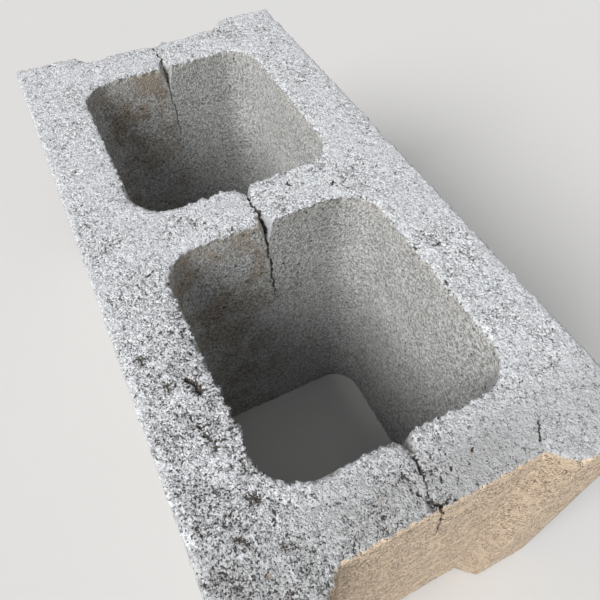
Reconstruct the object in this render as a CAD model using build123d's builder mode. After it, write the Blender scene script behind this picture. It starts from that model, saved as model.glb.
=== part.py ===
from build123d import *
import os
from math import radians, tan

# Hollow concrete block with two cores, as it stands on a level floor.
# Millimetres. X runs along the block, Y across it and Z up.
# The origin is the middle of the underside.

# Overall size of the moulded block.
block_length = 390
block_width = 190
block_height = 190

# Walls, measured on the top face, where the cores are widest.
face_shell = 35.5
end_web = 33
middle_web = 33

# The two cores run right through and narrow on their way down.
core_corner_radius = 21
core_taper = 1.0

# Each end is set back between two ears, whose inner flanks flare outwards.
end_recess = 10
ear_width = 38.5
ear_flank_angle = 45

# Short V-shaped splitting notches in the top rims of the cores, one in the
# middle of each cross wall. They narrow to a point on their way down, and
# the point stands just clear of the wall, in the core.
notch_width = 9
notch_depth = 9
notch_height = 18
notch_clearance = 0.5

# Rounding of the upright outer corners of the mould.
arris_radius = 2

# The cores take what the webs and the recesses leave of the length.
web_face = block_length / 2 - end_recess
core_length = web_face - end_web - middle_web / 2
core_width = block_width - 2 * face_shell
core_centre = (middle_web + core_length) / 2

# The recess is as wide as the ears leave it, and narrows to its floor.
recess_mouth = block_width - 2 * ear_width
recess_floor = recess_mouth - 2 * end_recess / tan(radians(ear_flank_angle))

# Each notch: the place of its wall on the top face, and the way it cuts.
notches = [
    (core * core_centre + way * core_length / 2, way)
    for core in (-1, 1)
    for way in (-1, 1)
]

with BuildPart() as hollow_block:
    # The outer outline, with its recessed ends.
    with BuildSketch() as outline:
        Rectangle(block_length, block_width)
        for way in (-1, 1):
            with BuildLine():
                Polyline(
                    (way * block_length / 2, -recess_mouth / 2),
                    (way * web_face, -recess_floor / 2),
                    (way * web_face, recess_floor / 2),
                    (way * block_length / 2, recess_mouth / 2),
                    close=True,
                )
            make_face(mode=Mode.SUBTRACT)
        ear_corners = outline.vertices().group_by(Axis.X)
        fillet(ear_corners[0] + ear_corners[-1], arris_radius)
    extrude(amount=block_height)

    # The two cores, cut downwards from the top face.
    with BuildSketch(Plane.XY.offset(block_height)):
        with Locations((-core_centre, 0), (core_centre, 0)):
            RectangleRounded(core_length, core_width, core_corner_radius)
    extrude(amount=-block_height, taper=core_taper, mode=Mode.SUBTRACT)

    # The notches. Each is a pyramid that starts inside the core, so no skin is left.
    for wall, way in notches:
        with BuildSketch(Plane.XY.offset(block_height)) as mouth:
            with BuildLine():
                Polyline(
                    (wall - way * notch_depth, -notch_width),
                    (wall + way * notch_depth, 0),
                    (wall - way * notch_depth, notch_width),
                    close=True,
                )
            make_face()
        foot = Vertex(wall - way * notch_clearance, 0, block_height - notch_height)
        loft([mouth.sketch.face(), foot], mode=Mode.SUBTRACT)

hollow_block.part.label = "hollow_block"

os.makedirs("parts", exist_ok=True)
export_step(hollow_block.part, "parts/hollow_block.step")
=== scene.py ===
import math

import bpy
import numpy as np
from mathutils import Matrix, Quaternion, Vector, geometry, kdtree, noise


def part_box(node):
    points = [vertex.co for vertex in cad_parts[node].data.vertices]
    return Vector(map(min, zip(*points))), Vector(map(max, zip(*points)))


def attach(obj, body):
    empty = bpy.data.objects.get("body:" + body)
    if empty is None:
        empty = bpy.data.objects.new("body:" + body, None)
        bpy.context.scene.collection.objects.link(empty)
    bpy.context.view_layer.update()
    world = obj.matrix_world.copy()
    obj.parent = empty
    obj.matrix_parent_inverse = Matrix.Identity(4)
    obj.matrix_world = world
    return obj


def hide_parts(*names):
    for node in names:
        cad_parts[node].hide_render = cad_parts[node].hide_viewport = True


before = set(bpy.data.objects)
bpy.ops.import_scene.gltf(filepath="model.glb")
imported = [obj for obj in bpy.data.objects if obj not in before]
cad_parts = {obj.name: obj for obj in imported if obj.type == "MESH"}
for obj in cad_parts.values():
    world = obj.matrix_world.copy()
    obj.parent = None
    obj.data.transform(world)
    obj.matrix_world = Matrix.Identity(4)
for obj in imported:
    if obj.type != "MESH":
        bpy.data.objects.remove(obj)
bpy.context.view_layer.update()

# The mesh is worked out in millimetres and written in metres.
MM = 0.001
NODE = "hollow_block"

# Overall size, from the frame. X runs along the block, Y across it and Z up.
node_low, node_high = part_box(NODE)
LENGTH, WIDTH, HEIGHT = ((b - a) / MM for a, b in zip(node_low, node_high))

# Walls, cores, recesses and notches, as in the source of the solid.
FACE_SHELL = 35.5
END_WEB = 33
MIDDLE_WEB = 33
CORE_RADIUS = 21
CORE_TAPER = math.radians(1.0)
END_RECESS = 10
EAR_WIDTH = 38.5
NOTCH_WIDTH = 9
NOTCH_DEPTH = 9
NOTCH_HEIGHT = 18
ARRIS_RADIUS = 2

WEB_FACE = LENGTH / 2 - END_RECESS
CORE_LENGTH = WEB_FACE - END_WEB - MIDDLE_WEB / 2
CORE_WIDTH = WIDTH - 2 * FACE_SHELL
CORE_CENTRE = (MIDDLE_WEB + CORE_LENGTH) / 2
RECESS_MOUTH = WIDTH / 2 - EAR_WIDTH
RECESS_FLOOR = RECESS_MOUTH - END_RECESS

# Mesh density: the distance between points on the top rims, and how it coarsens.
RIM_STEP = 1.1
CAP_STEP = 1.22
UNDER_STEP = 6.0
FINE_DEPTH = 7.0
CORE_MIDDLE_DEPTH = 90.0
OUTER_MIDDLE_DEPTH = 22.0
FOOT_DEPTH = 8.0
# Closer points along the marks, the end's slit and the notches, and how far they reach.
MARK_STEP = 0.38
MARK_REACH = 1.5
SLIT_STEP = 0.3
SLIT_REACH = 6.0
NOTCH_STEP = 0.5
NOTCH_REACH = 6.5
VALLEY_STEP = 0.2
VALLEY_REACH = 2.2
# How far the points of a cap keep from its rings and from closer points, and how they jitter.
RIM_GAP_STEPS = 0.62
MARK_RIM_GAP = 0.45
MARK_GAP_STEPS = 0.8
FIELD_JITTER = 0.16
MARK_JITTER = 0.12

# Marks in the top face: a path of (x, y), then how wide and how deep it is.
MIDDLE_CRACK = (
    [
        (-7.6, 0.2), (-6.4, 1.3), (-4.6, 0.7), (-2.8, 1.6),
        (-0.4, 1.9), (1.6, 0.8), (4.4, 1.2), (7.6, 0.0),
    ],
    0.5, 3.0,
)
NEAR_CRACK = ([(-161, 0), (-163.2, 1.4), (-165.6, 0.6), (-168.3, 2.6), (-170.6, 1.9)], 0.4, 1.8)
NEAR_HAIR = ([(-170.6, 1.9), (-172.4, 3.4), (-174.4, 3.2), (-176.6, 4.6), (-178.9, 5.2)], 0.22, 0.8)
NEAR_MOUTH = ([(-181.9, 4.0), (-183.2, 2.4), (-184.2, 3.1), (-185, 3.6)], 0.62, 4.0)
FAR_CRACK = (
    [(161, 0), (163.4, -1.2), (166.4, -0.2), (168.8, 0.7), (172.6, -0.8), (176, 0.9), (181, 0.2)],
    0.6, 3.0,
)
NEAR_CAVITY = ([(-179.4, 5.0), (-181.6, 5.1), (-183.0, 5.5)], 1.7, 2.4)
NEAR_PITS = [
    ([(-175.3, 8.4), (-176.0, 8.3), (-176.6, 7.5)], 0.38, 1.4),
    ([(-173.0, 10.0), (-174.1, 9.2)], 0.3, 1.0),
    ([(-176.4, -8.7), (-177.1, -9.0), (-177.7, -8.4)], 0.42, 1.4),
    ([(-172.8, -9.1), (-173.6, -8.5)], 0.32, 1.1),
    ([(-173.5, -17.1), (-174.5, -16.4), (-175.4, -16.5)], 0.28, 1.0),
    ([(-181.8, -2.4), (-183.0, -1.8)], 0.36, 1.3),
    ([(-184.4, -3.4), (-184.8, -2.6)], 0.42, 1.4),
    ([(-183.0, -0.6), (-183.9, 0.3)], 0.34, 1.2),
    ([(-174.2, -3.4), (-175.2, -2.8)], 0.28, 0.9),
    ([(-168.6, -22.0), (-169.9, -21.6), (-171.0, -20.4)], 0.26, 0.9),
    (
        [
            (-171.9, -52.9), (-173.4, -51.6), (-174.3, -51.9),
            (-176.2, -49.7), (-177.9, -48.9), (-179.9, -47.2),
        ],
        0.26, 1.1,
    ),
]
CURVED_PIT = ([(-88.3, 70.6), (-90.2, 68.9), (-92.4, 67.6), (-94.6, 67.9), (-96.6, 67.2)], 1.2, 2.2)
SHELL_PITS = [
    ([(-92.8, 71.6), (-92.3, 70.6)], 0.45, 1.4),
    ([(-111.6, 73.1), (-112.3, 72.5)], 0.7, 1.8),
    ([(-116.2, 73.2), (-116.8, 72.8)], 0.6, 1.6),
    ([(-113.2, 66.2), (-113.8, 65.7)], 0.6, 1.6),
    ([(-111.0, 68.4), (-111.3, 67.8)], 0.5, 1.4),
    ([(-111.4, 80.2), (-111.9, 79.4)], 0.5, 1.4),
    ([(-24.4, 67.9), (-23.8, 66.2), (-22.4, 64.7)], 0.45, 1.4),
    ([(-75.6, 65.2), (-77.2, 64.0)], 0.5, 1.4),
    ([(-67.3, -60.5), (-68.6, -60.2), (-69.9, -61.2)], 0.6, 1.6),
    ([(-93.6, -61.4), (-95.4, -60.9)], 0.6, 1.6),
    ([(-8.8, -47.2), (-11.6, -48.6), (-13.4, -51.7)], 0.4, 1.2),
    ([(7.0, -23.9), (4.8, -23.2), (2.3, -24.6)], 0.45, 1.3),
    ([(-4.9, -47.1), (-7.2, -45.2)], 0.4, 1.2),
]
MARKS = [
    MIDDLE_CRACK, NEAR_CRACK, NEAR_HAIR, NEAR_MOUTH, FAR_CRACK, NEAR_CAVITY, CURVED_PIT,
    *NEAR_PITS, *SHELL_PITS,
]
# How much painted shade a mark gets by its width: a wide one is dark enough by its own shade.
SHADED_WIDTHS = (1.0, 1.2, 1.7)
SHADED_SHARES = (1.0, 0.88, 0.62)

# The near crack runs on down the floor of the end recess: (y, z) from the top.
END_SLIT = [
    (3.4, 190), (2.9, 187), (1.6, 184.5), (1.9, 182), (0.5, 178.5), (0.9, 175), (-0.6, 171),
    (0.0, 167), (-1.2, 162), (-0.5, 158), (-1.3, 153), (-0.2, 148), (-0.7, 142), (0.4, 136),
]
# The same cracks run down the cores' far walls, from the valleys of their notches.
WALL_SLIT = [
    (0.0, 190), (0.2, 184), (-0.1, 178), (0.4, 174), (-0.3, 170), (0.3, 166), (-0.2, 162),
    (-0.9, 158), (-0.6, 154), (-1.3, 149), (-0.8, 144), (-1.5, 139), (-1.1, 134), (-1.7, 128),
    (-1.2, 121), (-1.6, 112),
]
# How wide and deep the slits are, how far above its end each fades, how thin it gets, and
# how much weaker they are in the far core.
SLIT_WIDTH = 0.4
SLIT_DEPTH = 1.2
SLIT_FADE = 25
THINNEST_SLIT = 0.12
FAR_SLIT_SHARE = 0.6

# Sizes in millimetres of the bends and jags of marks and slits, and of how they vary.
MARK_BENDS = 2.4
MARK_JAGS = 1.1
MARK_BREAKS = 3.1
SLIT_BENDS = 4.3
SLIT_JAGS = 1.7
SLIT_WIDTHS = 3.2
SLIT_EDGES = 0.9
SLIT_SHADES = 2.4

# The pale smear on the right of each notch: how far it reaches at the top, how ragged its
# edge is and in what size, where that edge begins and ends, and how faint lesser smears are.
SMEAR_REACH = 4.8
SMEAR_RAGGED = 1.6
SMEAR_TONGUES = 3.0
SMEAR_EDGE = (2.2, -1.6)
LESSER_SMEAR = 0.3

# Worn or broken spots on the rims: x, y, reach and bite.
WORN = [
    (-16.5, 6.5, 6.0, 2.2),
    (16.5, 5.5, 4.5, 1.4),
    (16.5, -5.0, 3.5, 0.8),
    (185.0, 0.0, 3.6, 4.6),
    (-152.0, 6.0, 4.5, 1.8),
    (-69.0, -60.0, 5.0, 1.4),
    (-195.0, -57.0, 2.5, 2.0),
    (-195.0, 61.0, 4.0, 1.5),
]
# Crumbs that overhang a rim: x, y, reach and overhang.
CRUMBS = [(-109.7, 60.0, 2.4, 2.8), (-98.0, 60.0, 2.2, 1.6), (-120.5, 60.0, 2.6, 1.5)]

# Sizes in millimetres of the forms in the grain.
SWELLS = 34
OPEN_PATCHES = 21
OPEN_SPOTS = 7
LUMPS = 7.0
CLEFT_GROUPS = 9
DIMPLES = 5
PEBBLES = 3.0
GRAINS = 2.4
# Where the grain turns coarse or calm: where each change begins and where it is complete.
COARSE_ALONG = (-10, -110)
COARSE_ACROSS = (45, 62)
NEAR_WEB_ALONG = (-150, -168)
CALM_ACROSS = (10, -22)
CALM_EDGE = (7, 2)
MOST_OPEN = 1.5

# The rims: how fast their wear fades away from them, and the sizes of its forms.
RIM_FADE = 2.4
RIM_WAVES = 9
RIM_CRUMBS = 3.4
RIM_GRAINS = 2.0
RIM_CHIPS = 26
CHIP_DEPTH = 4.0
# Wear of the rims at the foot, as a share of the wear at the top.
FOOT_WEAR = 0.45
# The outer rims, this close to the outline, are worn less than the cores' rims.
OUTER_BAND = 11


def rounded_path(corners, counts=None):
    """Points along a closed path of (x, y, radius, step) corners, and the steps in each stretch."""
    stretches = []
    arcs = []
    n = len(corners)
    for i, (x, y, radius, step) in enumerate(corners):
        here = np.array([x, y])
        back = np.array(corners[i - 1][:2]) - here
        ahead = np.array(corners[(i + 1) % n][:2]) - here
        back /= np.linalg.norm(back)
        ahead /= np.linalg.norm(ahead)
        if not radius:
            arcs.append((here, here, None, 0, step))
            continue
        half = math.acos(np.clip(back @ ahead, -1, 1)) / 2
        reach = radius / math.tan(half)
        middle = here + (back + ahead) / np.linalg.norm(back + ahead) * radius / math.sin(half)
        arcs.append((here + back * reach, here + ahead * reach, middle, radius, step))
    for i, (start, end, middle, radius, step) in enumerate(arcs):
        if radius:
            first = math.atan2(*(start - middle)[::-1])
            last = math.atan2(*(end - middle)[::-1])
            turn = (last - first + math.pi) % (2 * math.pi) - math.pi
            stretches.append((abs(turn) * radius / step, ("arc", middle, radius, first, turn)))
        following = arcs[(i + 1) % n][0]
        stretches.append((np.linalg.norm(following - end) / step, ("line", end, following)))
    if counts is None:
        counts = [4 * math.ceil(steps / 4) for steps, _ in stretches]
    points = []
    for count, (_, form) in zip(counts, stretches):
        for k in range(count):
            share = k / count
            if form[0] == "line":
                points.append(form[1] + (form[2] - form[1]) * share)
            else:
                angle = form[3] + form[4] * share
                points.append(form[1] + form[2] * np.array([math.cos(angle), math.sin(angle)]))
    return np.array(points), counts


def outer_corners():
    """The block's outline, anticlockwise from the far right corner."""
    corners = []
    for way in (1, -1):
        side = [
            (LENGTH / 2, -WIDTH / 2, ARRIS_RADIUS, RIM_STEP),
            (LENGTH / 2, -RECESS_MOUTH, ARRIS_RADIUS, RIM_STEP),
            (WEB_FACE, -RECESS_FLOOR, ARRIS_RADIUS, RIM_STEP),
            (WEB_FACE, -SLIT_REACH, 0, RIM_STEP if way > 0 else SLIT_STEP),
            (WEB_FACE, SLIT_REACH, 0, RIM_STEP),
            (WEB_FACE, RECESS_FLOOR, ARRIS_RADIUS, RIM_STEP),
            (LENGTH / 2, RECESS_MOUTH, ARRIS_RADIUS, RIM_STEP),
            (LENGTH / 2, WIDTH / 2, ARRIS_RADIUS, RIM_STEP),
        ]
        corners += [(way * x, way * y, r, step) for x, y, r, step in side]
    return corners


def core_corners(centre, inset):
    """One core's outline, anticlockwise from its far right corner, close set at the notches."""
    a = CORE_LENGTH / 2 - inset
    b = CORE_WIDTH / 2 - inset
    radius = CORE_RADIUS - inset
    corners = []
    for way in (1, -1):
        side = [
            (a, -b, radius, RIM_STEP),
            (a, -NOTCH_REACH, 0, NOTCH_STEP),
            (a, -VALLEY_REACH, 0, VALLEY_STEP),
            (a, VALLEY_REACH, 0, NOTCH_STEP),
            (a, NOTCH_REACH, 0, RIM_STEP),
            (a, b, radius, RIM_STEP),
        ]
        corners += [(centre + way * x, way * y, r, step) for x, y, r, step in side]
    return corners


def core_ring(centre, depth, counts=None):
    """One core's outline at some depth below the top, with its two notches."""
    inset = depth * math.tan(CORE_TAPER)
    ring, counts = rounded_path(core_corners(centre, inset), counts)
    share = max(0.0, 1 - depth / NOTCH_HEIGHT)
    bite = np.maximum(0, share * NOTCH_DEPTH - np.abs(ring[:, 1]) * 2 * NOTCH_DEPTH / NOTCH_WIDTH)
    ring[:, 0] += np.sign(ring[:, 0] - centre) * bite
    return ring, counts


def air_side(ring, hollow):
    """Unit vectors from each point of a ring into the air."""
    tangent = np.roll(ring, -1, 0) - np.roll(ring, 1, 0)
    tangent /= np.linalg.norm(tangent, axis=1)[:, None]
    out = np.stack([tangent[:, 1], -tangent[:, 0]], 1)
    return -out if hollow else out


def rows(middle_depth):
    """Depths of a wall's rings below the top, each with how many fine steps its points span."""
    table = [(0.0, 1)]
    zones = [
        (FINE_DEPTH, 1),
        (middle_depth, 2),
        (HEIGHT - FOOT_DEPTH, 4),
        (HEIGHT, 2),
    ]
    for bottom, span in zones:
        top = table[-1][0]
        count = max(1, round((bottom - top) / (RIM_STEP * span)))
        table += [(top + (bottom - top) * (k + 1) / count, span) for k in range(count)]
    return table


class Skin:
    """The points and triangles of the block's whole surface.

    Each point has its place, the way out of its own face and of the other face at the
    nearest rim, its distance to that rim, and its kind.
    """

    def __init__(self):
        self.parts = []
        self.count = 0
        self.triangles = []

    def add(self, place, face, other, edge, kind):
        """Adds points of one kind, and gives their numbers."""
        columns = [np.asarray(column, float) for column in (place, face, other, edge)]
        self.parts.append([*columns, np.full(len(place), kind)])
        first, self.count = self.count, self.count + len(place)
        return np.arange(first, self.count)

    def columns(self):
        """Place, face, other, edge and kind of all the points."""
        return [np.concatenate(column) for column in zip(*self.parts)]

    def stitch(self, upper, lower, flip):
        """Joins two closed rings of points: their counts are equal, or one is twice the other."""
        if len(upper) == len(lower):
            u, v = upper, lower
            u1, v1 = np.roll(u, -1), np.roll(v, -1)
            parts = [np.stack([u, v, v1], 1), np.stack([u, v1, u1], 1)]
        elif len(upper) == 2 * len(lower):
            a, b, c = upper[0::2], upper[1::2], np.roll(upper, -2)[0::2]
            v, v1 = lower, np.roll(lower, -1)
            parts = [np.stack([a, v, b], 1), np.stack([b, v, v1], 1), np.stack([b, v1, c], 1)]
        else:
            u, u1 = upper, np.roll(upper, -1)
            a, b, c = lower[0::2], lower[1::2], np.roll(lower, -2)[0::2]
            parts = [np.stack([u, a, b], 1), np.stack([u, b, u1], 1), np.stack([u1, b, c], 1)]
        made = np.concatenate(parts)
        self.triangles.append(made[:, ::-1] if flip else made)


TOP, CORE, OUTER, UNDER = range(4)


def wall(skin, ring_at, hollow, middle_depth):
    """One upright wall, from its top ring to its foot. Gives the points of both."""
    kind = CORE if hollow else OUTER
    top_ring, previous = None, None
    for depth, span in rows(middle_depth):
        ring = ring_at(depth)
        out = air_side(ring, hollow)[::span]
        ring = ring[::span]
        face = np.column_stack([out, np.zeros(len(out))])
        upright = 1.0 if depth < HEIGHT / 2 else -1.0
        other = np.tile([0, 0, upright], (len(out), 1))
        place = np.column_stack([ring, np.full(len(ring), HEIGHT - depth)])
        edge = np.full(len(ring), min(depth, HEIGHT - depth))
        made = skin.add(place, face, other, edge, kind)
        if previous is None:
            top_ring = made
        else:
            skin.stitch(previous, made, hollow)
        previous = made
    return top_ring, previous


def inside(points, rings):
    """Which points are in the material, by counting the edges crossed on the way out."""
    odd = np.zeros(len(points), bool)
    x, y = points[:, 0], points[:, 1]
    for ring in rings:
        ahead = np.roll(ring, -1, 0)
        for (x0, y0), (x1, y1) in zip(ring, ahead):
            if y0 == y1:
                continue
            crosses = (y0 > y) != (y1 > y)
            odd ^= crosses & (x < (x1 - x0) * (y - y0) / (y1 - y0) + x0)
    return odd


def honeycomb(step, low, high, jitter, seed):
    """Points of a jittered triangular grid over a rectangle."""
    draw = np.random.default_rng(seed)
    xs = np.arange(low[0], high[0], step)
    ys = np.arange(low[1], high[1], step * math.sqrt(3) / 2)
    grid = np.array([(x + (j % 2) * step / 2, y) for j, y in enumerate(ys) for x in xs])
    return grid + draw.uniform(-jitter, jitter, grid.shape) * step


def nearest(spots, queries):
    """Distance to the closest of some spots, the unit vector towards it, and which it is."""
    tree = kdtree.KDTree(len(spots))
    for i, (x, y) in enumerate(spots):
        tree.insert((x, y, 0), i)
    tree.balance()
    found = [tree.find((x, y, 0)) for x, y in queries]
    gap = np.array([f[2] for f in found])
    towards = np.array([f[0][:2] for f in found]) - queries
    return gap, towards / np.maximum(gap, 1e-6)[:, None], np.array([f[1] for f in found])


def along(path, step):
    """Points every step or so along an open path."""
    points = []
    for (x0, y0), (x1, y1) in zip(path, path[1:]):
        count = math.ceil(math.hypot(x1 - x0, y1 - y0) / step)
        points += [(x0 + (x1 - x0) * k / count, y0 + (y1 - y0) * k / count) for k in range(count)]
    return points + [path[-1]]


def mark_spots():
    """Points along every mark of the top, each with the mark's width and depth."""
    return np.array([
        (x, y, width, depth)
        for path, width, depth in MARKS
        for x, y in along(path, MARK_STEP)
    ])


def cap_field(rings, step, kind, spots):
    """Points between the rings of a cap, close set along the marks."""
    edge = np.concatenate(rings)
    low, high = edge.min(0), edge.max(0)
    rim_gap = RIM_GAP_STEPS * (RIM_STEP if kind == TOP else 2 * RIM_STEP)
    field = honeycomb(step, low, high, FIELD_JITTER, 11 + kind)
    field = field[inside(field, rings)]
    field = field[nearest(edge, field)[0] > rim_gap]
    if spots is None:
        return field
    dense = honeycomb(MARK_STEP, low, high, MARK_JITTER, 23)
    dense = dense[nearest(spots, dense)[0] < MARK_REACH]
    dense = dense[inside(dense, rings)]
    dense = dense[nearest(edge, dense)[0] > MARK_RIM_GAP]
    apart = nearest(dense, field)[0] > MARK_GAP_STEPS * MARK_STEP
    return np.concatenate([field[apart], dense])


def triangulated(flat, rings, up):
    """Triangles over flat points, the rings' points first, that fill the material."""
    links = []
    first = 0
    for ring in rings:
        count = len(ring)
        links += [(first + k, first + (k + 1) % count) for k in range(count)]
        first += count
    found = geometry.delaunay_2d_cdt([Vector(p) for p in flat], links, [], 0, 1e-7)
    source = np.array([s[0] for s in found[3]])
    triangles = source[np.array(found[2])]
    triangles = triangles[inside(flat[triangles].mean(1), rings)]
    a, b, c = (flat[triangles[:, k]] for k in range(3))
    turn = (b[:, 0] - a[:, 0]) * (c[:, 1] - a[:, 1]) - (b[:, 1] - a[:, 1]) * (c[:, 0] - a[:, 0])
    wrong = turn * up < 0
    triangles[wrong] = triangles[wrong][:, ::-1]
    return triangles


def cap(skin, ring_ids, step, level, kind, spots=None):
    """The top or the underside: a flat field of points between the rings."""
    places = skin.columns()[0]
    rings = [places[ids][:, :2] for ids in ring_ids]
    edge = np.concatenate(rings)
    field = cap_field(rings, step, kind, spots)
    gap, towards, _ = nearest(edge, field)
    up = 1.0 if kind == TOP else -1.0
    place = np.column_stack([field, np.full(len(field), level)])
    face = np.tile([0, 0, up], (len(field), 1))
    other = np.column_stack([towards, np.zeros(len(field))])
    made = skin.add(place, face, other, gap, kind)
    ids = np.concatenate([*ring_ids, made])
    skin.triangles.append(ids[triangulated(np.concatenate([edge, field]), rings, up)])


def plain_skin(spots):
    """The block's plain surface: its outer wall, the walls of both cores, its top and underside."""
    skin = Skin()
    path, _ = rounded_path(outer_corners())
    walls = [wall(skin, lambda depth: path, False, OUTER_MIDDLE_DEPTH)]
    for way in (-1, 1):
        centre = way * CORE_CENTRE
        counts = core_ring(centre, 0.0)[1]
        walls.append(
            wall(skin, lambda depth: core_ring(centre, depth, counts)[0], True, CORE_MIDDLE_DEPTH)
        )
    top_rings, foot_rings = zip(*walls)
    cap(skin, top_rings, CAP_STEP, HEIGHT, TOP, spots[:, :2])
    cap(skin, foot_rings, UNDER_STEP, 0.0, UNDER)
    return skin


def waves(place, size, seed, octaves=1):
    """Smooth noise from -1 to 1, with features of about this size in millimetres."""
    shift = Vector((seed * 17.3, seed * 5.1, seed * 29.7))
    if octaves == 1:
        return np.array([noise.noise(Vector(p) / size + shift) for p in place])
    return np.array([noise.fractal(Vector(p) / size + shift, 0.9, 2.0, octaves) for p in place])


def cells(place, size, seed):
    """Cellular noise: how near each point is to the joint of two cells, and a draw for its cell."""
    shift = Vector((seed * 7.7, seed * 3.9, seed * 11.3))
    margin, draw = [], []
    for p in place:
        distances, centres = noise.voronoi(Vector(p) / size + shift)
        margin.append(distances[1] - distances[0])
        draw.append(noise.cell_vector(centres[0] * 3.1)[0])
    return np.array(margin), np.array(draw)


def smooth(low, high, value):
    """A smooth step from 0 to 1 between two values, in either order."""
    t = np.clip((value - low) / (high - low), 0, 1)
    return t * t * (3 - 2 * t)


def bumps(place, spots):
    """The sum of round bumps given as (x, y, reach, size), seen from above."""
    total = np.zeros(len(place))
    for x, y, reach, size in spots:
        gap = np.hypot(place[:, 0] - x, place[:, 1] - y) / reach
        total += size * np.exp(-gap**2)
    return total


def coarse_zones(x, y):
    """Where the grain is coarse: the near half of the left shell, and a little the near web."""
    return smooth(*COARSE_ALONG, x) * smooth(*COARSE_ACROSS, y) + 0.25 * smooth(*NEAR_WEB_ALONG, x)


def calm_zones(x, y):
    """Where the grain is closed: the right of the near web, and beside the long outer rims."""
    web = smooth(*NEAR_WEB_ALONG, x) * smooth(*CALM_ACROSS, y)
    return web + smooth(*CALM_EDGE, WIDTH / 2 - np.abs(y))


def grain(place, kind, pebble_draw, pebble_joint):
    """How each point of a plain face stands out, how open the grain is there, and its clefts."""
    x, y = place[:, 0], place[:, 1]
    open_grain = 0.5 + 0.55 * waves(place, OPEN_PATCHES, 1) + 0.5 * waves(place, OPEN_SPOTS, 2)
    coarse = np.minimum(coarse_zones(x, y), 1)
    calm = np.minimum(calm_zones(x, y), 1)
    open_grain = np.clip(open_grain + 0.7 * coarse - 0.6 * calm, 0, MOST_OPEN)
    openness = np.minimum(open_grain, 1)
    margin, lump = cells(place, LUMPS, 3)
    lump_joint = 1 - smooth(0.0, 0.2, margin)
    cleft = lump_joint * smooth(0.0, 0.35, waves(place, CLEFT_GROUPS, 4)) * openness
    pebble = -pebble_joint * (0.2 + 0.8 * openness) + 0.5 * (pebble_draw - 0.5)
    fine = waves(place, GRAINS, 5)
    swell = waves(place, SWELLS, 6)
    dimple = waves(place, DIMPLES, 7)
    # The weights are heights in millimetres, and the last term keeps the face inside its plane.
    on_top = 0.22 * swell + 0.25 * (lump - 0.5) - 1.0 * cleft + 0.26 * pebble + 0.18 * fine - 0.1
    moulded = 0.14 * swell + 0.06 * pebble + 0.08 * fine + 0.07 * dimple - 0.16
    return np.where(kind == TOP, on_top, moulded), open_grain, cleft * (kind == TOP)


def rim_shape(place, kind, open_grain, pebble_draw, pebble_joint):
    """How far each point near a rim is pushed sideways into the air, and up."""
    upper = place[:, 2] > HEIGHT / 2
    free = np.where(upper, 1.0, FOOT_WEAR)
    wide = waves(place, RIM_WAVES, 8, 2)
    crumb = waves(place, RIM_CRUMBS, 9) + 0.9 * waves(place, RIM_GRAINS, 10)
    crumb = crumb * (0.6 + 0.9 * np.minimum(open_grain, 1.3))
    chip = np.clip(waves(place, RIM_CHIPS, 11) - 0.3, 0, 1) * CHIP_DEPTH
    knob = 0.5 * (pebble_draw - 0.4) - 0.7 * pebble_joint
    side = -0.25 + 0.55 * wide + 1.15 * crumb + 0.9 * knob - 0.7 * chip
    drop = -0.75 - 0.5 * np.maximum(wide, 0) + 0.45 * crumb + 0.4 * knob - chip
    to_outline = np.maximum(np.abs(place[:, 0]) - WEB_FACE, np.abs(place[:, 1]) - WIDTH / 2)
    outer = (kind == OUTER) | (to_outline > -OUTER_BAND)
    side = np.where(outer, 0.65 * side - 0.35, side)
    worn = bumps(place, WORN)
    over = bumps(place, CRUMBS)
    side = side * free - (worn * 0.8 - over) * upper
    drop = drop * free - (worn * 0.7 - 0.25 * over) * upper
    return side, drop


def from_core_centre(place):
    """How far along X each point lies from the middle of the core on its side of the web."""
    return place[:, 0] - np.sign(place[:, 0]) * CORE_CENTRE


def flanks(place, kind):
    """How much each point is on the right flank of a notch, where the paste is smeared."""
    cross_wall = np.abs(from_core_centre(place)) > CORE_LENGTH / 2 - 1
    up = np.clip((place[:, 2] - HEIGHT + NOTCH_HEIGHT) / NOTCH_HEIGHT, 0, 1)
    reach = SMEAR_REACH * up + SMEAR_RAGGED * waves(place, SMEAR_TONGUES, 19)
    main_notch = np.abs(place[:, 0] + MIDDLE_WEB / 2) < NOTCH_DEPTH + 1
    share = np.where(main_notch, 1.0, LESSER_SMEAR)
    beside = (place[:, 1] < -0.1) * smooth(*SMEAR_EDGE, -place[:, 1] - reach)
    return (kind == CORE) * cross_wall * share * beside * smooth(0, 0.25, up)


def mark_depth(place, spots):
    """How deep the marks cut points of the top, and how much painted shade they lay on them."""
    gap, _, which = nearest(spots[:, :2], place[:, :2])
    gap = gap + 0.3 * waves(place, MARK_JAGS, 12) + 0.25 * waves(place, MARK_BENDS, 13)
    width, deepest = spots[which, 2], spots[which, 3]
    broken = 0.45 + 0.55 * smooth(-0.3, 0.15, waves(place, MARK_BREAKS, 15))
    broken = np.where(width > 1, 1, broken)
    depth = deepest * broken * np.clip(1.25 - gap / width, 0, 1)
    share = np.interp(width, SHADED_WIDTHS, SHADED_SHARES) * smooth(0.2, 0.8, broken)
    return depth, np.clip(1.3 - gap / (width + 0.4), 0, 1) * share


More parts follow.
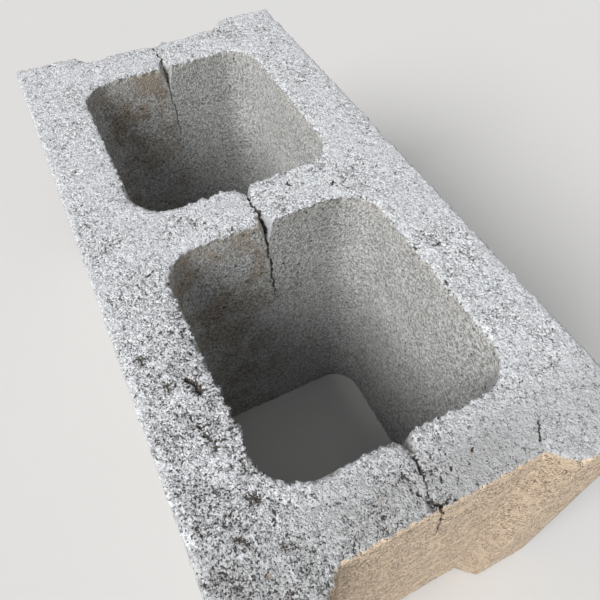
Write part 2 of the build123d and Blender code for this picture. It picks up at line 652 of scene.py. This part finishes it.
def slit_depth(place, path):
    """How deep a crack along a path of (y, z) cuts points of a wall, and how near it they are."""
    ys, zs = np.array(path).T
    level = place * [0, 0, 1]
    middle = np.interp(level[:, 2], zs[::-1], ys[::-1])
    middle += 0.8 * waves(level, SLIT_BENDS, 16) + 0.4 * waves(level, SLIT_JAGS, 17)
    fade = smooth(zs[-1], zs[-1] + SLIT_FADE, level[:, 2])
    width = SLIT_WIDTH * (0.55 + 0.5 * fade + 0.9 * waves(level, SLIT_WIDTHS, 14))
    gap = np.abs(place[:, 1] - middle) + 0.2 * waves(place, SLIT_EDGES, 18)
    depth = SLIT_DEPTH * fade * np.clip(1.3 - gap / np.maximum(width, THINNEST_SLIT), 0, 1)
    shade = 0.9 + 0.8 * waves(level, SLIT_SHADES, 20)
    near = fade * np.clip(1.25 - gap / shade, 0, 1)
    return depth, near


def cuts(place, kind, spots):
    """How deep marks cut the top and slits the walls, and how near each point is to one."""
    cut, slit, beside = (np.zeros(len(place)) for _ in range(3))
    tops = np.flatnonzero(kind == TOP)
    cut[tops], beside[tops] = mark_depth(place[tops], spots)
    near_end = (kind == OUTER) & (place[:, 0] < -WEB_FACE + 1)
    far_wall = (kind == CORE) & (from_core_centre(place) > CORE_LENGTH / 2 - 3)
    far_core = place[:, 0] > 0
    for wall_points, path, share in (
        (near_end, END_SLIT, 1.0),
        (far_wall & ~far_core, WALL_SLIT, 1.0),
        (far_wall & far_core, WALL_SLIT, FAR_SLIT_SHARE),
    ):
        chosen = np.flatnonzero(wall_points & (np.abs(place[:, 1]) < SLIT_REACH))
        depth, near = slit_depth(place[chosen], path)
        slit[chosen] += depth * share
        beside[chosen] += near * share
    return cut, slit, beside


def block_skin():
    """The block's whole surface as one closed mesh, with its grain, rims, chips and cracks."""
    spots = mark_spots()
    skin = plain_skin(spots)
    place, face, other, edge, kind = skin.columns()
    margin, pebble_draw = cells(place, PEBBLES, 1)
    pebble_joint = 1 - smooth(0.02, 0.4, margin)
    stand, open_grain, cleft = grain(place, kind, pebble_draw, pebble_joint)
    side, drop = rim_shape(place, kind, open_grain, pebble_draw, pebble_joint)
    cut, slit, beside = cuts(place, kind, spots)

    # A cap's other face is a wall, and a wall's is a cap, so they swap at the rim.
    near_rim = np.exp(-edge / RIM_FADE)
    flat = (kind == TOP) | (kind == UNDER)
    sideways = np.where(flat[:, None], other, face)
    upward = np.where(flat[:, None], face, other)
    moved = place + face * (stand * (1 - near_rim) - slit)[:, None]
    moved += sideways * (side * near_rim)[:, None] + upward * (drop * near_rim)[:, None]
    moved[:, 2] -= cut
    limit = np.array([LENGTH / 2, WIDTH / 2, HEIGHT])
    moved = np.clip(moved, -limit * [1, 1, 0], limit)

    along_x = np.abs(face[:, 0])
    return meshed(moved, np.concatenate(skin.triangles), {
        "open_grain": open_grain,
        "near_rim": near_rim,
        # Painted shade in the marks, clefts and slits.
        "hollow_shade": np.clip(0.9 * cleft + beside, 0, 1),
        "on_top": (kind == TOP).astype(float),
        "in_core": (kind == CORE).astype(float),
        "at_end": (kind == OUTER) * smooth(0.3, 0.4, along_x),
        # Where the recess flanks get painted shade.
        "on_flank": (kind == OUTER) * smooth(0.97, 0.8, along_x),
        "smear": flanks(place, kind),
    })


def meshed(points, triangles, masks):
    """The block as an object, with a value at each point for each of its material's masks."""
    mesh = bpy.data.meshes.new("moulded_block")
    mesh.from_pydata((points * MM).tolist(), [], triangles.tolist())
    mesh.validate()
    for name, values in masks.items():
        layer = mesh.attributes.new(name, "FLOAT", "POINT")
        layer.data.foreach_set("value", values.astype(np.float32))
    mesh.polygons.foreach_set("use_smooth", np.ones(len(mesh.polygons), bool))
    made = bpy.data.objects.new("moulded_block", mesh)
    bpy.context.collection.objects.link(made)
    return made


class Shader:
    """Short ways to make and join the nodes of one material."""

    def __init__(self, name):
        self.material = bpy.data.materials.new(name)
        self.material.use_nodes = True
        self.tree = self.material.node_tree
        self.tree.nodes.clear()

    def add(self, kind, settings=None, **inputs):
        """A node, with its inputs given by name, or as i0, i1 and so on where names repeat."""
        made = self.tree.nodes.new("ShaderNode" + kind)
        for key, value in (settings or {}).items():
            setattr(made, key, value)
        for key, value in inputs.items():
            numbered = key[1:].isdigit()
            spot = made.inputs[int(key[1:]) if numbered else key.replace("_", " ")]
            self.put(spot, value)
        return made

    def put(self, spot, value):
        """Links a socket or sets a constant."""
        if isinstance(value, bpy.types.NodeSocket):
            self.tree.links.new(value, spot)
        else:
            spot.default_value = value

    def output(self, **inputs):
        """The material, finished with one surface that has these inputs."""
        surface = self.add("BsdfPrincipled", **inputs)
        self.tree.links.new(surface.outputs[0], self.add("OutputMaterial").inputs[0])
        return self.material

    def math(self, how, a, b=0.0, c=0.0):
        return self.add("Math", {"operation": how}, i0=a, i1=b, i2=c).outputs[0]

    def times(self, a, b):
        return self.math("MULTIPLY", a, b)

    def plus(self, a, b):
        return self.math("ADD", a, b)

    def less(self, a, b):
        return self.math("SUBTRACT", a, b)

    def most(self, a, b):
        return self.math("MAXIMUM", a, b)

    def steps(self, value, low, high, to_low=0.0, to_high=1.0):
        """A smooth ramp between two values."""
        made = self.add(
            "MapRange",
            {"interpolation_type": "SMOOTHSTEP"},
            Value=value, From_Min=low, From_Max=high, To_Min=to_low, To_Max=to_high,
        )
        return made.outputs[0]

    def mix(self, share, a, b):
        return self.add("Mix", {"data_type": "RGBA"}, i0=share, i6=a, i7=b).outputs[2]

    def noise(self, place, size, detail=2.0, rough=0.5):
        """Noise from 0 to 1, with its largest features about this size in millimetres."""
        made = self.add(
            "TexNoise", Vector=place, Scale=1.0 / (size * MM), Detail=detail, Roughness=rough
        )
        return made.outputs[0]

    def cells(self, place, size, feature="F1"):
        """Cells of about this size in millimetres."""
        return self.add("TexVoronoi", {"feature": feature}, Vector=place, Scale=1.0 / (size * MM))

    def red(self, colour):
        return self.add("SeparateColor", Color=colour).outputs[0]

    def warped(self, place, size, amount):
        """The place, shifted a little by noise, so that cells lose their straight sides."""
        drift = self.add("TexNoise", Vector=place, Scale=1.0 / (size * MM), Detail=2.0)
        centred = self.add(
            "VectorMath", {"operation": "SUBTRACT"}, i0=drift.outputs[1], i1=(0.5, 0.5, 0.5)
        )
        scaled = self.add(
            "VectorMath", {"operation": "SCALE"}, i0=centred.outputs[0], Scale=amount * MM
        )
        moved = self.add("VectorMath", {"operation": "ADD"}, i0=place, i1=scaled.outputs[0])
        return moved.outputs[0]

    def attribute(self, name):
        return self.add("Attribute", {"attribute_name": name}).outputs["Fac"]


def grey(value, warm=0.0):
    """A linear colour of this brightness, a little warmer or cooler."""
    return (value * (1 + warm), value, value * (1 - warm), 1.0)


# Colours of the top face: paste, sand grains, and what lies on and between them.
PASTE = [(0.555, 0.57, 0.60, 1), (0.62, 0.635, 0.67, 1)]
SMOOTH_PASTE = (0.68, 0.695, 0.735, 1)
SAND = [(0.37, 0.38, 0.40, 1), (0.90, 0.92, 0.96, 1)]
GRIME = grey(0.25, 0.02)
WEATHER = grey(0.28, 0.02)
# Painted shade inside holes and in the gaps between grains.
HOLE_SHADE = grey(0.04, 0.03)
RUST = (0.40, 0.29, 0.19, 1)
PALE_STONE = (0.83, 0.86, 0.92, 1)
# Painted shade inside the cracks, clefts, slits and the near cavity.
CRACK_SHADE = (0.050, 0.038, 0.028, 1)

# Colours of the mould faces.
WALL = [(0.42, 0.435, 0.435, 1), (0.51, 0.525, 0.525, 1)]
WALL_GRAIN = [grey(0.15, 0.02), (0.84, 0.86, 0.86, 1)]
UNDER_RIM = (0.56, 0.51, 0.44, 1)
# A brown stain in the cores, with painted shade: darker deeper down, paler under the rims.
STAIN = [(0.13, 0.10, 0.075, 1), (0.46, 0.38, 0.29, 1)]
STAIN_UNDER_RIM = (0.60, 0.52, 0.42, 1)
OUTER_PATCH = (0.47, 0.445, 0.41, 1)
# Painted shade inside the walls' small holes and wider pits.
WALL_HOLE_SHADE = grey(0.06, 0.05)
WALL_PIT_SHADE = grey(0.035, 0.05)
SMEARED = (0.45, 0.465, 0.50, 1)

# Colours of the dusted ends.
DUST = [(0.37, 0.287, 0.212, 1), (0.95, 0.765, 0.584, 1)]
SMOOTH_DUST = (0.83, 0.67, 0.50, 1)
# Painted shade on the recess flanks, which the key light strikes harder than the recess floor.
FLANK_SHADE = (0.30, 0.235, 0.175, 1)
# Painted shade inside the dust's small holes.
DUST_HOLE_SHADE = (0.10, 0.07, 0.05, 1)

# Sizes in millimetres of what the material draws.
CLOUDS = 45
BLOTCHES = 8
STAINS = 26
DUST_PATCHES = 7
ODD_STONES = 5.2
SEAMS = 1.8
SEAM_PATCHES = 3.2
FINE_HOLES = 0.9
COARSE_HOLES = 1.6
RAGGED_EDGES = 1.1
SMALL_STONES = 1.4
WALL_SAND = 0.95
# Sizes of sand grains, and the share of each in the tone.
TOP_GRAINS = [(0.6, 0.40), (0.95, 0.48), (2.0, 0.12)]
WALL_GRAINS = [(0.7, 0.5), (1.25, 0.3)]
# The noise that bends the grains and the seams: its size, and how far it shifts them.
GRAIN_WARP = (2.2, 1.6)
SEAM_WARP = (1.6, 1.4)

# The range of tones that each pair of sand colours spans.
SAND_TONES = (0.18, 0.78)
WALL_TONES = (0.34, 0.86)
DUST_TONES = (0.36, 0.84)

# Where a noise falls into a hole or a seam: the values where that begins and is complete.
PIN_HOLE_EDGE = (0.315, 0.295)
PIT_EDGE = (0.335, 0.32)
SEAM_EDGE = (0.085, 0.045)
SEAM_PATCH_EDGE = (0.43, 0.37)
WALL_HOLE_EDGES = [(0.34, 0.31), (0.345, 0.325)]
DUST_HOLE_EDGES = [(0.395, 0.365), (0.355, 0.335)]

# Where a colour begins and is complete, in metres along the block, across it or down from
# the top: the weathered near web, the warm band and the stains in the cores, with the stains'
# painted shade deeper down and less of it under the rims, and the dust.
WEATHER_ALONG = (-0.145, -0.175)
WEATHER_ACROSS = (0.055, 0.03)
BAND_DOWN = (0.012, 0.003)
STAIN_ACROSS = (-0.004, 0.006)
STAIN_AND_SHADE_DOWN = (0.09, 0.03)
PALER_STAIN_AND_SHADE_DOWN = (0.028, 0.006)
DUST_DOWN = (0.0004, 0.0016)
SMOOTH_DUST_DOWN = (0.006, 0.003)

# How strongly each of these is laid over what is under it.
HOLE_SHADE_SHARE = 0.95
SEAM_SHARE = 0.75
WEATHER_SHARE = 0.55
RUST_SHARE = 0.5
PALE_SHARE = 0.75
WALL_HOLE_SHADE_SHARE = 0.85
SMEAR_SHARE = 0.85
FLANK_SHADE_SHARE = 0.42
CRACK_SHADE_SHARE = 0.93

# The finish: dull, with relief up to this many metres high.
ROUGHNESS = 0.93
SPECULAR = 0.25
RELIEF = 0.0007


class Concrete(Shader):
    """The block's material, with the places, masks and noises that its faces share."""

    def __init__(self):
        super().__init__("moulded_concrete")
        self.place = self.add("TexCoord").outputs["Object"]
        self.x, self.y, self.z = self.add("SeparateXYZ", Vector=self.place).outputs
        self.depth = self.less(HEIGHT * MM, self.z)
        self.open_grain = self.attribute("open_grain")
        self.near_rim = self.attribute("near_rim")
        self.on_top = self.attribute("on_top")
        self.in_core = self.attribute("in_core")
        self.bent = self.warped(self.place, *GRAIN_WARP)
        self.clouds = self.noise(self.place, CLOUDS, 3)
        self.fine = self.noise(self.place, FINE_HOLES, 1, 0.5)
        self.coarse = self.noise(self.bent, COARSE_HOLES, 3, 0.7)
        self.sand = self.noise(self.bent, WALL_SAND, 3, 0.75)
        self.wall_tone = self.math("MULTIPLY_ADD", self.sand, 0.4, self.tone(WALL_GRAINS))
        odd = self.cells(self.bent, ODD_STONES)
        self.odd_gap = odd.outputs["Distance"]
        self.odd_draw = self.red(odd.outputs["Color"])

    def from_top(self, start, end):
        """A smooth ramp between two depths below the top, by height."""
        return self.steps(self.z, HEIGHT * MM - start, HEIGHT * MM - end)

    def tone(self, grains):
        """A tone drawn for each sand grain, summed over grains of several sizes."""
        total = 0.0
        for size, share in grains:
            drawn = self.red(self.cells(self.bent, size).outputs["Color"])
            total = self.math("MULTIPLY_ADD", drawn, share, total)
        return total

    def odd_stones(self, edge, draw):
        """Round spots in a few wide cells: where each fades out, and which draws have one."""
        return self.times(self.steps(self.odd_gap, *edge), self.steps(self.odd_draw, *draw))

    def small_holes(self, fine, coarse):
        """Holes, for painted shade, where the fine or the coarse noise falls through its threshold.
        """
        return self.most(self.steps(self.fine, *fine), self.steps(self.coarse, *coarse))


def shaded_top_holes(s):
    """Painted shade in small holes and the seams between grains, and the larger holes alone."""
    at_core = s.times(s.times(s.near_rim, s.in_core), 0.05)
    reach = s.plus(s.steps(s.open_grain, 0.0, MOST_OPEN, 0.0, 0.08), at_core)
    pin_holes = s.steps(s.less(s.fine, reach), *PIN_HOLE_EDGE)
    pits = s.steps(s.less(s.coarse, reach), *PIT_EDGE)
    to_joint = s.cells(s.warped(s.place, *SEAM_WARP), SEAMS, "DISTANCE_TO_EDGE").outputs[0]
    patches = s.steps(s.less(s.noise(s.place, SEAM_PATCHES, 2), reach), *SEAM_PATCH_EDGE)
    seams = s.times(s.steps(to_joint, *SEAM_EDGE), patches)
    return s.most(s.most(pin_holes, pits), s.times(seams, SEAM_SHARE)), pits


def top_face(s, dark):
    """Pale paste and sand, greyer where it is coarse or weathered, with a few odd stones."""
    paste = s.mix(s.clouds, *PASTE)
    paste = s.mix(s.steps(s.noise(s.place, BLOTCHES, 3), 0.52, 0.68), paste, SMOOTH_PASTE)
    sandy = s.mix(s.steps(s.tone(TOP_GRAINS), *SAND_TONES), *SAND)
    colour = s.mix(s.steps(s.open_grain, 0.0, 0.9, 0.55, 0.95), paste, sandy)
    colour = s.mix(s.steps(s.open_grain, 0.9, 1.4, 0.0, 0.25), colour, GRIME)
    inward = s.steps(s.math("ABSOLUTE", s.y), *WEATHER_ACROSS, 0.6, 1.0)
    near_web = s.times(s.steps(s.x, *WEATHER_ALONG), inward)
    colour = s.mix(near_web, colour, s.mix(WEATHER_SHARE, colour, WEATHER))
    # Painted shade in the holes and the seams between the grains.
    colour = s.mix(s.times(dark, HOLE_SHADE_SHARE), colour, HOLE_SHADE)
    rusty = s.odd_stones((0.2, 0.12), (0.93, 0.96))
    colour = s.mix(s.times(rusty, RUST_SHARE), colour, RUST)
    pale = s.odd_stones((0.3, 0.22), (0.07, 0.04))
    return s.mix(s.times(pale, PALE_SHARE), colour, PALE_STONE)


def core_stains_and_shade(s, colour):
    """A warm band under the cores' rims, and a brown stain on their left with painted shade."""
    band = s.times(s.steps(s.depth, *BAND_DOWN), s.times(s.in_core, 0.55))
    colour = s.mix(band, colour, s.mix(0.35, colour, UNDER_RIM))
    brown = s.steps(s.noise(s.place, STAINS, 4, 0.7), 0.40, 0.62)
    leftward = s.steps(s.y, *STAIN_ACROSS, 0.12, 1.0)
    # Painted shade: the stain is laid more strongly deeper down.
    strength = s.times(s.in_core, s.steps(s.depth, *STAIN_AND_SHADE_DOWN, 0.55, 0.8))
    stain = s.mix(s.steps(s.wall_tone, *WALL_TONES), *STAIN)
    # Painted shade: the stain turns paler towards the rims.
    stain = s.mix(s.steps(s.depth, *PALER_STAIN_AND_SHADE_DOWN, 0.0, 0.45), stain, STAIN_UNDER_RIM)
    return s.mix(s.times(s.times(brown, leftward), strength), colour, stain)


def mould_faces(s, top_colour):
    """Sandy grey walls: stained in the cores, calmer and warmer in patches outside."""
    contrast = s.steps(s.in_core, 0.0, 1.0, 0.42, 0.68)
    sandy = s.mix(s.steps(s.wall_tone, *WALL_TONES), *WALL_GRAIN)
    colour = core_stains_and_shade(s, s.mix(contrast, s.mix(s.clouds, *WALL), sandy))
    patched = s.mix(s.steps(s.clouds, 0.4, 0.62), colour, OUTER_PATCH)
    colour = s.mix(s.less(1.0, s.in_core), colour, s.mix(0.5, colour, patched))
    # Painted shade in small holes.
    small = s.small_holes(*WALL_HOLE_EDGES)
    colour = s.mix(s.times(small, WALL_HOLE_SHADE_SHARE), colour, WALL_HOLE_SHADE)
    # Painted shade in wider pits.
    wide = s.odd_stones((0.17, 0.13), (0.64, 0.68))
    colour = s.mix(s.times(wide, WALL_HOLE_SHADE_SHARE), colour, WALL_PIT_SHADE)
    smear = s.times(s.attribute("smear"), SMEAR_SHARE)
    return s.mix(smear, colour, s.mix(0.25, SMEARED, top_colour))


def end_faces(s):
    """Sand-coloured dust, smooth along the top edge and in patches; painted shade on the flanks."""
    colour = s.mix(s.steps(s.wall_tone, *DUST_TONES), *DUST)
    patch = s.steps(s.noise(s.place, DUST_PATCHES, 2), 0.5, 0.62)
    smoothed = s.most(s.times(s.from_top(*SMOOTH_DUST_DOWN), 0.65), s.times(patch, 0.6))
    colour = s.mix(smoothed, colour, SMOOTH_DUST)
    # Painted shade on the recess flanks.
    colour = s.mix(s.times(s.attribute("on_flank"), FLANK_SHADE_SHARE), colour, FLANK_SHADE)
    # Painted shade in small holes, fewer where the dust is smooth.
    small = s.small_holes(*DUST_HOLE_EDGES)
    return s.mix(s.times(small, s.steps(patch, 1.0, 0.2, 0.3, 0.9)), colour, DUST_HOLE_SHADE)


def shaded_cracks(s):
    """Painted shade in the marks, clefts and slits of the mesh, with ragged edges."""
    hollow = s.attribute("hollow_shade")
    rough = s.times(s.less(s.noise(s.place, RAGGED_EDGES, 3, 0.7), 0.5), 2.6)
    return s.times(s.steps(s.plus(hollow, rough), 0.5, 0.66), s.steps(hollow, 0.05, 0.3))


def fine_relief(s, pits):
    """Relief finer than the mesh."""
    stones = s.times(s.cells(s.bent, SMALL_STONES).outputs["Distance"], -0.5)
    height = s.plus(s.plus(s.times(s.fine, 0.8), stones), s.times(pits, -0.6))
    height = s.plus(height, s.times(s.sand, 1.2))
    return s.add("Bump", Strength=1.0, Distance=RELIEF, Height=height).outputs[0]


def concrete():
    """Moulded concrete: open grain on top, sandy mould faces, and dusted ends."""
    s = Concrete()
    dark, pits = shaded_top_holes(s)
    top_colour = top_face(s, dark)
    top_share = s.steps(s.plus(s.on_top, s.times(s.near_rim, 0.8)), 0.35, 0.75)
    colour = s.mix(top_share, mould_faces(s, top_colour), top_colour)
    upright = s.times(s.attribute("at_end"), s.from_top(*DUST_DOWN))
    dusted = s.times(upright, s.steps(s.on_top, 0.9, 0.3))
    colour = s.mix(dusted, colour, end_faces(s))
    # Painted shade in the cracks, clefts and slits.
    colour = s.mix(s.times(shaded_cracks(s), CRACK_SHADE_SHARE), colour, CRACK_SHADE)
    return s.output(
        Base_Color=colour,
        Roughness=ROUGHNESS,
        Specular_IOR_Level=SPECULAR,
        Normal=fine_relief(s, pits),
    )


# The floor, in metres, and its two tones and the size in millimetres of its clouds.
FLOOR_HALF = 40.0
FLOOR_TONES = [grey(0.60, 0.004), grey(0.63, 0.004)]
FLOOR_CLOUDS = 260
FLOOR_ROUGHNESS = 0.9


def floor():
    """A plain pale floor."""
    corners = [(x * FLOOR_HALF, y * FLOOR_HALF, 0) for x, y in ((-1, -1), (1, -1), (1, 1), (-1, 1))]
    mesh = bpy.data.meshes.new("floor")
    mesh.from_pydata(corners, [], [(0, 1, 2, 3)])
    made = bpy.data.objects.new("floor", mesh)
    bpy.context.collection.objects.link(made)
    s = Shader("pale_floor")
    place = s.add("TexCoord").outputs["Object"]
    tone = s.mix(s.noise(place, FLOOR_CLOUDS, 2), *FLOOR_TONES)
    mesh.materials.append(s.output(Base_Color=tone, Roughness=FLOOR_ROUGHNESS))
    return made


def aim(thing, target, roll=0.0):
    """Turns a camera or a lamp towards a point."""
    way = (Vector(target) - thing.location).to_track_quat("-Z", "Y")
    thing.rotation_mode = "QUATERNION"
    thing.rotation_quaternion = way @ Quaternion((0, 0, 1), math.radians(roll))


# One soft key light, and the sky and the backdrop with their strengths.
KEY_FROM = (-0.36, 0.93, 0.90)
KEY_STRENGTH = 3.7
KEY_SPREAD = math.radians(38)
KEY_COLOUR = (1.0, 0.985, 0.96)
SKY = ((0.97, 0.985, 1.0, 1), 0.40)
BACKDROP = ((1.0, 0.995, 0.985, 1), 0.74)


def sky():
    """An even pale sky on the object, and a paler backdrop for what looks past it."""
    world = bpy.data.worlds.new("sky")
    bpy.context.scene.world = world
    world.use_nodes = True
    nodes, links = world.node_tree.nodes, world.node_tree.links
    lighting = nodes["Background"]
    backdrop = nodes.new("ShaderNodeBackground")
    for shade, (colour, strength) in ((lighting, SKY), (backdrop, BACKDROP)):
        shade.inputs["Color"].default_value = colour
        shade.inputs["Strength"].default_value = strength
    path = nodes.new("ShaderNodeLightPath")
    sees_backdrop = path.outputs["Is Camera Ray"]
    for ray in ("Is Glossy Ray", "Is Transmission Ray"):
        either = nodes.new("ShaderNodeMath")
        either.operation = "MAXIMUM"
        links.new(sees_backdrop, either.inputs[0])
        links.new(path.outputs[ray], either.inputs[1])
        sees_backdrop = either.outputs[0]
    choice = nodes.new("ShaderNodeMixShader")
    links.new(sees_backdrop, choice.inputs[0])
    links.new(lighting.outputs[0], choice.inputs[1])
    links.new(backdrop.outputs[0], choice.inputs[2])
    links.new(choice.outputs[0], nodes["World Output"].inputs[0])


def key_light():
    """One broad soft light from high on the block's left."""
    data = bpy.data.lights.new("key", "SUN")
    data.energy = KEY_STRENGTH
    data.angle = KEY_SPREAD
    data.color = KEY_COLOUR
    key = bpy.data.objects.new("key", data)
    bpy.context.collection.objects.link(key)
    key.location = KEY_FROM
    aim(key, (0, 0, 0))


# The camera, in metres and degrees, with its lens in millimetres.
CAMERA_FROM = (-0.2256, 0.0793, 0.4130)
CAMERA_TARGET = (-0.0721, 0.0072, 0.190)
CAMERA_ROLL = -1.45
CAMERA_LENS = 35.14
CAMERA_SENSOR = 36
CLIP_START = 0.01


def camera():
    """The photograph's viewpoint: just past the near end, looking down along the block."""
    data = bpy.data.cameras.new("camera")
    data.sensor_width = CAMERA_SENSOR
    data.lens = CAMERA_LENS
    data.clip_start = CLIP_START
    made = bpy.data.objects.new("camera", data)
    bpy.context.collection.objects.link(made)
    made.location = CAMERA_FROM
    aim(made, CAMERA_TARGET, CAMERA_ROLL)
    bpy.context.scene.camera = made


block = block_skin()
block.data.materials.append(concrete())
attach(block, "root")
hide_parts(NODE)
floor()
sky()
key_light()
camera()
bpy.context.scene.view_settings.view_transform = "Standard"
